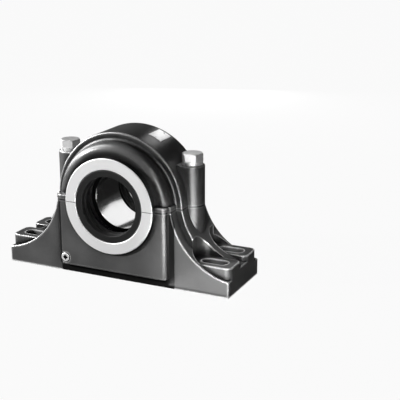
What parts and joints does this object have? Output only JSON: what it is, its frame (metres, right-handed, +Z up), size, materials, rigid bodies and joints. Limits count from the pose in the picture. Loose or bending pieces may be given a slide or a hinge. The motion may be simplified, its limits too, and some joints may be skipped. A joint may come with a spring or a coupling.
{
  "type": "pillow block bearing",
  "caption": "Split pillow block: cast base and cap bolted round a spherical roller bearing on a tapered sleeve, with labyrinth seal rings and slotted feet.",
  "frame": {"origin": "on the floor, under the middle of the bearing", "axes": "+X along the base, +Y along the shaft from the front to the lock nut side, +Z up"},
  "size_m": [0.419, 0.1556, 0.2477],
  "materials": {
    "casting_paint": "semi-gloss black machine enamel on cast iron, bare machined seal faces",
    "plated_steel": "bright zinc plate",
    "bearing_steel": "ground",
    "cage_steel": "phosphated",
    "seal_iron": "turned and blackened",
    "seal_rubber": "matte"
  },
  "bodies": {
    "housing": {"housing_base": "casting_paint", "housing_cap": "casting_paint", "cap_bolt_left": "plated_steel", "cap_bolt_right": "plated_steel", "spring_washer_left": "plated_steel", "spring_washer_right": "plated_steel", "dowel_pin_left": "bearing_steel", "dowel_pin_right": "bearing_steel", "drain_plug": "plated_steel", "locating_ring_front": "bearing_steel", "locating_ring_rear": "bearing_steel", "outer_ring": "bearing_steel"},
    "guide": {"guide_ring": "bearing_steel"},
    "rotor": {"inner_ring": "bearing_steel", "adapter_sleeve": "bearing_steel", "tab_washer": "bearing_steel", "lock_nut": "bearing_steel", "seal_ring_front": "seal_iron", "seal_ring_rear": "seal_iron", "seal_cord_front": "seal_rubber", "seal_cord_rear": "seal_rubber"},
    "cage_front": {"cage_front": "cage_steel"},
    "cage_rear": {"cage_rear": "cage_steel"},
    "roller_front_01": {"roller_front_01": "bearing_steel"},
    "roller_front_02": {"roller_front_02": "bearing_steel"},
    "roller_front_03": {"roller_front_03": "bearing_steel"},
    "roller_front_04": {"roller_front_04": "bearing_steel"},
    "roller_front_05": {"roller_front_05": "bearing_steel"},
    "roller_front_06": {"roller_front_06": "bearing_steel"},
    "roller_front_07": {"roller_front_07": "bearing_steel"},
    "roller_front_08": {"roller_front_08": "bearing_steel"},
    "roller_front_09": {"roller_front_09": "bearing_steel"},
    "roller_front_10": {"roller_front_10": "bearing_steel"},
    "roller_front_11": {"roller_front_11": "bearing_steel"},
    "roller_front_12": {"roller_front_12": "bearing_steel"},
    "roller_front_13": {"roller_front_13": "bearing_steel"},
    "roller_front_14": {"roller_front_14": "bearing_steel"},
    "roller_front_15": {"roller_front_15": "bearing_steel"},
    "roller_front_16": {"roller_front_16": "bearing_steel"},
    "roller_front_17": {"roller_front_17": "bearing_steel"},
    "roller_rear_01": {"roller_rear_01": "bearing_steel"},
    "roller_rear_02": {"roller_rear_02": "bearing_steel"},
    "roller_rear_03": {"roller_rear_03": "bearing_steel"},
    "roller_rear_04": {"roller_rear_04": "bearing_steel"},
    "roller_rear_05": {"roller_rear_05": "bearing_steel"},
    "roller_rear_06": {"roller_rear_06": "bearing_steel"},
    "roller_rear_07": {"roller_rear_07": "bearing_steel"},
    "roller_rear_08": {"roller_rear_08": "bearing_steel"},
    "roller_rear_09": {"roller_rear_09": "bearing_steel"},
    "roller_rear_10": {"roller_rear_10": "bearing_steel"},
    "roller_rear_11": {"roller_rear_11": "bearing_steel"},
    "roller_rear_12": {"roller_rear_12": "bearing_steel"},
    "roller_rear_13": {"roller_rear_13": "bearing_steel"},
    "roller_rear_14": {"roller_rear_14": "bearing_steel"},
    "roller_rear_15": {"roller_rear_15": "bearing_steel"},
    "roller_rear_16": {"roller_rear_16": "bearing_steel"},
    "roller_rear_17": {"roller_rear_17": "bearing_steel"}
  },
  "joints": [
    {"name": "self_align", "type": "hinge", "parent": "housing", "child": "guide", "pos_m": [0, 0, 0.1302], "axis": [1, 0, 0], "range_deg": [-0.3, 0.3]},
    {"name": "rotor_spin", "type": "hinge", "parent": "guide", "child": "rotor", "pos_m": [0, 0, 0.1302], "axis": [0, 1, 0], "continuous": true},
    {"name": "cage_front_spin", "type": "hinge", "parent": "guide", "child": "cage_front", "pos_m": [0, 0, 0.1302], "axis": [0, 1, 0], "continuous": true},
    {"name": "cage_rear_spin", "type": "hinge", "parent": "guide", "child": "cage_rear", "pos_m": [0, 0, 0.1302], "axis": [0, 1, 0], "continuous": true},
    {"name": "roller_front_01_spin", "type": "hinge", "parent": "cage_front", "child": "roller_front_01", "pos_m": [0.0785, -0.01384, 0.1302], "axis": [0.1736, 0.9848, 0], "continuous": true},
    {"name": "roller_front_02_spin", "type": "hinge", "parent": "cage_front", "child": "roller_front_02", "pos_m": [0.0732, -0.01384, 0.10184], "axis": [0.1619, 0.9848, -0.0627], "continuous": true},
    {"name": "roller_front_03_spin", "type": "hinge", "parent": "cage_front", "child": "roller_front_03", "pos_m": [0.05801, -0.01384, 0.07731], "axis": [0.1283, 0.9848, -0.117], "continuous": true},
    {"name": "roller_front_04_spin", "type": "hinge", "parent": "cage_front", "child": "roller_front_04", "pos_m": [0.03499, -0.01384, 0.05993], "axis": [0.0774, 0.9848, -0.1554], "continuous": true},
    {"name": "roller_front_05_spin", "type": "hinge", "parent": "cage_front", "child": "roller_front_05", "pos_m": [0.00724, -0.01384, 0.05203], "axis": [0.016, 0.9848, -0.1729], "continuous": true},
    {"name": "roller_front_06_spin", "type": "hinge", "parent": "cage_front", "child": "roller_front_06", "pos_m": [-0.02148, -0.01384, 0.0547], "axis": [-0.0475, 0.9848, -0.167], "continuous": true},
    {"name": "roller_front_07_spin", "type": "hinge", "parent": "cage_front", "child": "roller_front_07", "pos_m": [-0.04731, -0.01384, 0.06756], "axis": [-0.1046, 0.9848, -0.1386], "continuous": true},
    {"name": "roller_front_08_spin", "type": "hinge", "parent": "cage_front", "child": "roller_front_08", "pos_m": [-0.06674, -0.01384, 0.08888], "axis": [-0.1476, 0.9848, -0.0914], "continuous": true},
    {"name": "roller_front_09_spin", "type": "hinge", "parent": "cage_front", "child": "roller_front_09", "pos_m": [-0.07716, -0.01384, 0.11578], "axis": [-0.1707, 0.9848, -0.0319], "continuous": true},
    {"name": "roller_front_10_spin", "type": "hinge", "parent": "cage_front", "child": "roller_front_10", "pos_m": [-0.07716, -0.01384, 0.14462], "axis": [-0.1707, 0.9848, 0.0319], "continuous": true},
    {"name": "roller_front_11_spin", "type": "hinge", "parent": "cage_front", "child": "roller_front_11", "pos_m": [-0.06674, -0.01384, 0.17152], "axis": [-0.1476, 0.9848, 0.0914], "continuous": true},
    {"name": "roller_front_12_spin", "type": "hinge", "parent": "cage_front", "child": "roller_front_12", "pos_m": [-0.04731, -0.01384, 0.19284], "axis": [-0.1046, 0.9848, 0.1386], "continuous": true},
    {"name": "roller_front_13_spin", "type": "hinge", "parent": "cage_front", "child": "roller_front_13", "pos_m": [-0.02148, -0.01384, 0.2057], "axis": [-0.0475, 0.9848, 0.167], "continuous": true},
    {"name": "roller_front_14_spin", "type": "hinge", "parent": "cage_front", "child": "roller_front_14", "pos_m": [0.00724, -0.01384, 0.20837], "axis": [0.016, 0.9848, 0.1729], "continuous": true},
    {"name": "roller_front_15_spin", "type": "hinge", "parent": "cage_front", "child": "roller_front_15", "pos_m": [0.03499, -0.01384, 0.20047], "axis": [0.0774, 0.9848, 0.1554], "continuous": true},
    {"name": "roller_front_16_spin", "type": "hinge", "parent": "cage_front", "child": "roller_front_16", "pos_m": [0.05801, -0.01384, 0.18309], "axis": [0.1283, 0.9848, 0.117], "continuous": true},
    {"name": "roller_front_17_spin", "type": "hinge", "parent": "cage_front", "child": "roller_front_17", "pos_m": [0.0732, -0.01384, 0.15856], "axis": [0.1619, 0.9848, 0.0627], "continuous": true},
    {"name": "roller_rear_01_spin", "type": "hinge", "parent": "cage_rear", "child": "roller_rear_01", "pos_m": [-0.0785, 0.01384, 0.1302], "axis": [0.1736, 0.9848, 0], "continuous": true},
    {"name": "roller_rear_02_spin", "type": "hinge", "parent": "cage_rear", "child": "roller_rear_02", "pos_m": [-0.0732, 0.01384, 0.15856], "axis": [0.1619, 0.9848, -0.0627], "continuous": true},
    {"name": "roller_rear_03_spin", "type": "hinge", "parent": "cage_rear", "child": "roller_rear_03", "pos_m": [-0.05801, 0.01384, 0.18309], "axis": [0.1283, 0.9848, -0.117], "continuous": true},
    {"name": "roller_rear_04_spin", "type": "hinge", "parent": "cage_rear", "child": "roller_rear_04", "pos_m": [-0.03499, 0.01384, 0.20047], "axis": [0.0774, 0.9848, -0.1554], "continuous": true},
    {"name": "roller_rear_05_spin", "type": "hinge", "parent": "cage_rear", "child": "roller_rear_05", "pos_m": [-0.00724, 0.01384, 0.20837], "axis": [0.016, 0.9848, -0.1729], "continuous": true},
    {"name": "roller_rear_06_spin", "type": "hinge", "parent": "cage_rear", "child": "roller_rear_06", "pos_m": [0.02148, 0.01384, 0.2057], "axis": [-0.0475, 0.9848, -0.167], "continuous": true},
    {"name": "roller_rear_07_spin", "type": "hinge", "parent": "cage_rear", "child": "roller_rear_07", "pos_m": [0.04731, 0.01384, 0.19284], "axis": [-0.1046, 0.9848, -0.1386], "continuous": true},
    {"name": "roller_rear_08_spin", "type": "hinge", "parent": "cage_rear", "child": "roller_rear_08", "pos_m": [0.06674, 0.01384, 0.17152], "axis": [-0.1476, 0.9848, -0.0914], "continuous": true},
    {"name": "roller_rear_09_spin", "type": "hinge", "parent": "cage_rear", "child": "roller_rear_09", "pos_m": [0.07716, 0.01384, 0.14462], "axis": [-0.1707, 0.9848, -0.0319], "continuous": true},
    {"name": "roller_rear_10_spin", "type": "hinge", "parent": "cage_rear", "child": "roller_rear_10", "pos_m": [0.07716, 0.01384, 0.11578], "axis": [-0.1707, 0.9848, 0.0319], "continuous": true},
    {"name": "roller_rear_11_spin", "type": "hinge", "parent": "cage_rear", "child": "roller_rear_11", "pos_m": [0.06674, 0.01384, 0.08888], "axis": [-0.1476, 0.9848, 0.0914], "continuous": true},
    {"name": "roller_rear_12_spin", "type": "hinge", "parent": "cage_rear", "child": "roller_rear_12", "pos_m": [0.04731, 0.01384, 0.06756], "axis": [-0.1046, 0.9848, 0.1386], "continuous": true},
    {"name": "roller_rear_13_spin", "type": "hinge", "parent": "cage_rear", "child": "roller_rear_13", "pos_m": [0.02148, 0.01384, 0.0547], "axis": [-0.0475, 0.9848, 0.167], "continuous": true},
    {"name": "roller_rear_14_spin", "type": "hinge", "parent": "cage_rear", "child": "roller_rear_14", "pos_m": [-0.00724, 0.01384, 0.05203], "axis": [0.016, 0.9848, 0.1729], "continuous": true},
    {"name": "roller_rear_15_spin", "type": "hinge", "parent": "cage_rear", "child": "roller_rear_15", "pos_m": [-0.03499, 0.01384, 0.05993], "axis": [0.0774, 0.9848, 0.1554], "continuous": true},
    {"name": "roller_rear_16_spin", "type": "hinge", "parent": "cage_rear", "child": "roller_rear_16", "pos_m": [-0.05801, 0.01384, 0.07731], "axis": [0.1283, 0.9848, 0.117], "continuous": true},
    {"name": "roller_rear_17_spin", "type": "hinge", "parent": "cage_rear", "child": "roller_rear_17", "pos_m": [-0.0732, 0.01384, 0.10184], "axis": [0.1619, 0.9848, 0.0627], "continuous": true}
  ],
  "couplings": [
    {"joint": "cage_front_spin", "follows": "rotor_spin", "ratio": 0.42347},
    {"joint": "cage_rear_spin", "follows": "rotor_spin", "ratio": 0.42347},
    {"joint": "roller_front_01_spin", "follows": "rotor_spin", "ratio": -3.1418},
    {"joint": "roller_front_02_spin", "follows": "rotor_spin", "ratio": -3.1418},
    {"joint": "roller_front_03_spin", "follows": "rotor_spin", "ratio": -3.1418},
    {"joint": "roller_front_04_spin", "follows": "rotor_spin", "ratio": -3.1418},
    {"joint": "roller_front_05_spin", "follows": "rotor_spin", "ratio": -3.1418},
    {"joint": "roller_front_06_spin", "follows": "rotor_spin", "ratio": -3.1418},
    {"joint": "roller_front_07_spin", "follows": "rotor_spin", "ratio": -3.1418},
    {"joint": "roller_front_08_spin", "follows": "rotor_spin", "ratio": -3.1418},
    {"joint": "roller_front_09_spin", "follows": "rotor_spin", "ratio": -3.1418},
    {"joint": "roller_front_10_spin", "follows": "rotor_spin", "ratio": -3.1418},
    {"joint": "roller_front_11_spin", "follows": "rotor_spin", "ratio": -3.1418},
    {"joint": "roller_front_12_spin", "follows": "rotor_spin", "ratio": -3.1418},
    {"joint": "roller_front_13_spin", "follows": "rotor_spin", "ratio": -3.1418},
    {"joint": "roller_front_14_spin", "follows": "rotor_spin", "ratio": -3.1418},
    {"joint": "roller_front_15_spin", "follows": "rotor_spin", "ratio": -3.1418},
    {"joint": "roller_front_16_spin", "follows": "rotor_spin", "ratio": -3.1418},
    {"joint": "roller_front_17_spin", "follows": "rotor_spin", "ratio": -3.1418},
    {"joint": "roller_rear_01_spin", "follows": "rotor_spin", "ratio": -3.1418},
    {"joint": "roller_rear_02_spin", "follows": "rotor_spin", "ratio": -3.1418},
    {"joint": "roller_rear_03_spin", "follows": "rotor_spin", "ratio": -3.1418},
    {"joint": "roller_rear_04_spin", "follows": "rotor_spin", "ratio": -3.1418},
    {"joint": "roller_rear_05_spin", "follows": "rotor_spin", "ratio": -3.1418},
    {"joint": "roller_rear_06_spin", "follows": "rotor_spin", "ratio": -3.1418},
    {"joint": "roller_rear_07_spin", "follows": "rotor_spin", "ratio": -3.1418},
    {"joint": "roller_rear_08_spin", "follows": "rotor_spin", "ratio": -3.1418},
    {"joint": "roller_rear_09_spin", "follows": "rotor_spin", "ratio": -3.1418},
    {"joint": "roller_rear_10_spin", "follows": "rotor_spin", "ratio": -3.1418},
    {"joint": "roller_rear_11_spin", "follows": "rotor_spin", "ratio": -3.1418},
    {"joint": "roller_rear_12_spin", "follows": "rotor_spin", "ratio": -3.1418},
    {"joint": "roller_rear_13_spin", "follows": "rotor_spin", "ratio": -3.1418},
    {"joint": "roller_rear_14_spin", "follows": "rotor_spin", "ratio": -3.1418},
    {"joint": "roller_rear_15_spin", "follows": "rotor_spin", "ratio": -3.1418},
    {"joint": "roller_rear_16_spin", "follows": "rotor_spin", "ratio": -3.1418},
    {"joint": "roller_rear_17_spin", "follows": "rotor_spin", "ratio": -3.1418}
  ]
}
